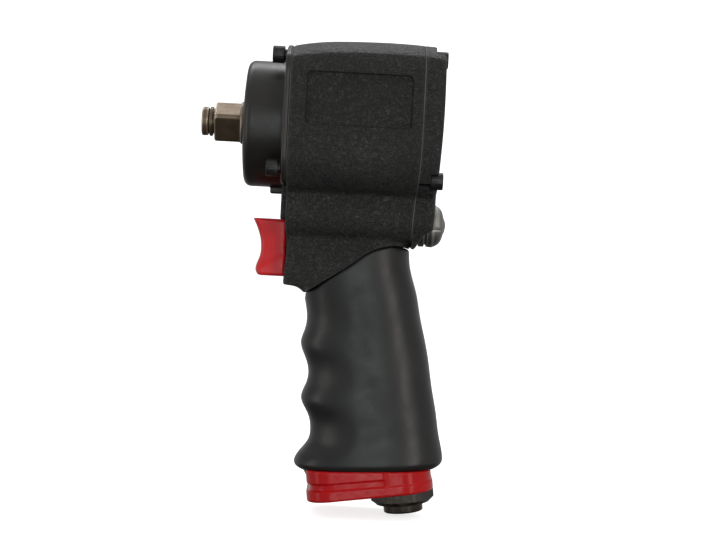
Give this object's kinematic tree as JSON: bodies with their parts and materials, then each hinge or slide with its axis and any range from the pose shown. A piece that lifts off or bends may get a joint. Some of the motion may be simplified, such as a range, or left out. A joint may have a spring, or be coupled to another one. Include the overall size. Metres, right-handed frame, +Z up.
{
  "type": "impact wrench",
  "caption": "Stubby pistol-grip air impact wrench: square drive anvil, cast motor body, rubber grip, red trigger and exhaust base, rear reversing knob and bottom air inlet.",
  "frame": {"origin": "centre of the anvil's front end face, on the drive axis", "axes": "+X runs rearwards along the drive axis, +Z up away from the handle, +Y across the tool"},
  "size_m": [0.108, 0.066, 0.1978],
  "materials": {
    "housing_paint": "textured black paint on cast aluminium",
    "nose_paint": "smooth satin black paint",
    "screw_steel": "black oxide",
    "grip_rubber": "satin moulded rubber",
    "red_plastic": "satin moulded",
    "drive_steel": "oiled, heat-treated steel",
    "knob_metal": "satin cast",
    "inlet_steel": "black oxide",
    "tool_steel": "ground",
    "cast_plate": "machined",
    "brass": "turned",
    "seal_rubber": "matt",
    "gasket_fibre": "pressed fibre",
    "vane_fibre": "phenolic fibre",
    "felt": "felt"
  },
  "bodies": {
    "housing": {"motor_housing": "housing_paint", "hammer_case": "nose_paint", "hammer_case_gasket": "gasket_fibre", "rear_cover": "housing_paint", "rear_cover_gasket": "gasket_fibre", "hammer_case_screw_1": "screw_steel", "hammer_case_screw_2": "screw_steel", "hammer_case_screw_3": "screw_steel", "hammer_case_screw_4": "screw_steel", "rear_cover_screw_1": "screw_steel", "rear_cover_screw_2": "screw_steel", "rear_cover_screw_3": "screw_steel", "rear_cover_screw_4": "screw_steel", "anvil_bushing": "brass", "cylinder": "tool_steel", "cylinder_dowel": "tool_steel", "front_end_plate": "cast_plate", "rear_end_plate": "cast_plate", "front_bearing_outer_race": "tool_steel", "rear_bearing_outer_race": "tool_steel", "reverse_bushing": "tool_steel", "detent_spring": "tool_steel", "trigger_bushing": "brass", "trigger_o_ring": "seal_rubber", "throttle_seat": "brass", "throttle_spring": "tool_steel", "spring_retainer": "tool_steel", "grip_sleeve": "grip_rubber", "exhaust_deflector": "red_plastic", "muffler_pad": "felt", "deflector_screw": "screw_steel", "inlet_bushing": "inlet_steel", "inlet_o_ring": "seal_rubber", "inlet_screen": "brass"},
    "anvil": {"anvil": "drive_steel", "friction_ring": "tool_steel", "anvil_o_ring": "seal_rubber"},
    "rotor": {"rotor": "tool_steel", "rotor_vane_1": "vane_fibre", "rotor_vane_2": "vane_fibre", "rotor_vane_3": "vane_fibre", "rotor_vane_4": "vane_fibre", "rotor_vane_5": "vane_fibre", "rotor_vane_6": "vane_fibre", "front_bearing_inner_race": "tool_steel", "rear_bearing_inner_race": "tool_steel", "hammer_frame": "tool_steel", "hammer_pin": "tool_steel", "stop_pin": "tool_steel"},
    "hammer": {"hammer": "tool_steel"},
    "front_ball_cage": {"front_bearing_ball_cage": "tool_steel"},
    "rear_ball_cage": {"rear_bearing_ball_cage": "tool_steel"},
    "reverser": {"reverse_knob": "knob_metal", "reverse_valve": "brass", "reverse_o_ring": "seal_rubber", "knob_pin": "tool_steel"},
    "detent": {"detent_ball": "tool_steel"},
    "trigger": {"trigger": "red_plastic", "trigger_pin": "tool_steel"},
    "throttle": {"throttle_valve": "brass"}
  },
  "joints": [
    {"name": "rotor_spin", "type": "hinge", "parent": "housing", "child": "rotor", "pos_m": [0, 0, 0], "axis": [1, 0, 0], "continuous": true},
    {"name": "anvil_spin", "type": "hinge", "parent": "housing", "child": "anvil", "pos_m": [0, 0, 0], "axis": [1, 0, 0], "continuous": true},
    {"name": "hammer_rock", "type": "hinge", "parent": "rotor", "child": "hammer", "pos_m": [0, 0, 0.0162], "axis": [1, 0, 0], "range_deg": [-3, 3]},
    {"name": "front_balls_spin", "type": "hinge", "parent": "housing", "child": "front_ball_cage", "pos_m": [0, 0, 0], "axis": [1, 0, 0], "continuous": true},
    {"name": "rear_balls_spin", "type": "hinge", "parent": "housing", "child": "rear_ball_cage", "pos_m": [0, 0, 0], "axis": [1, 0, 0], "continuous": true},
    {"name": "reverse_turn", "type": "hinge", "parent": "housing", "child": "reverser", "pos_m": [0.0994, 0, -0.0387], "axis": [1, 0, 0], "range_deg": [-45, 45]},
    {"name": "detent_slide", "type": "slide", "parent": "housing", "child": "detent", "axis": [0, 0, 1], "range_m": [0, 0.0008], "stiffness_N_per_m": 60, "springref_m": -0.0005, "deforming": ["detent_spring"]},
    {"name": "trigger_slide", "type": "slide", "parent": "housing", "child": "trigger", "axis": [1, 0, 0], "range_m": [0, 0.006], "stiffness_N_per_m": 1200, "springref_m": -0.003},
    {"name": "throttle_tilt", "type": "hinge", "parent": "housing", "child": "throttle", "pos_m": [0.07443, 0, -0.07107], "axis": [0, 1, 0], "range_deg": [0, 20.5], "deforming": ["throttle_spring"]}
  ],
  "couplings": [
    {"joint": "anvil_spin", "follows": "rotor_spin", "ratio": 1},
    {"joint": "front_balls_spin", "follows": "rotor_spin", "ratio": 0.43},
    {"joint": "rear_balls_spin", "follows": "rotor_spin", "ratio": 0.43},
    {"joint": "throttle_tilt", "follows": "trigger_slide", "rad_per_m": 58.178}
  ]
}
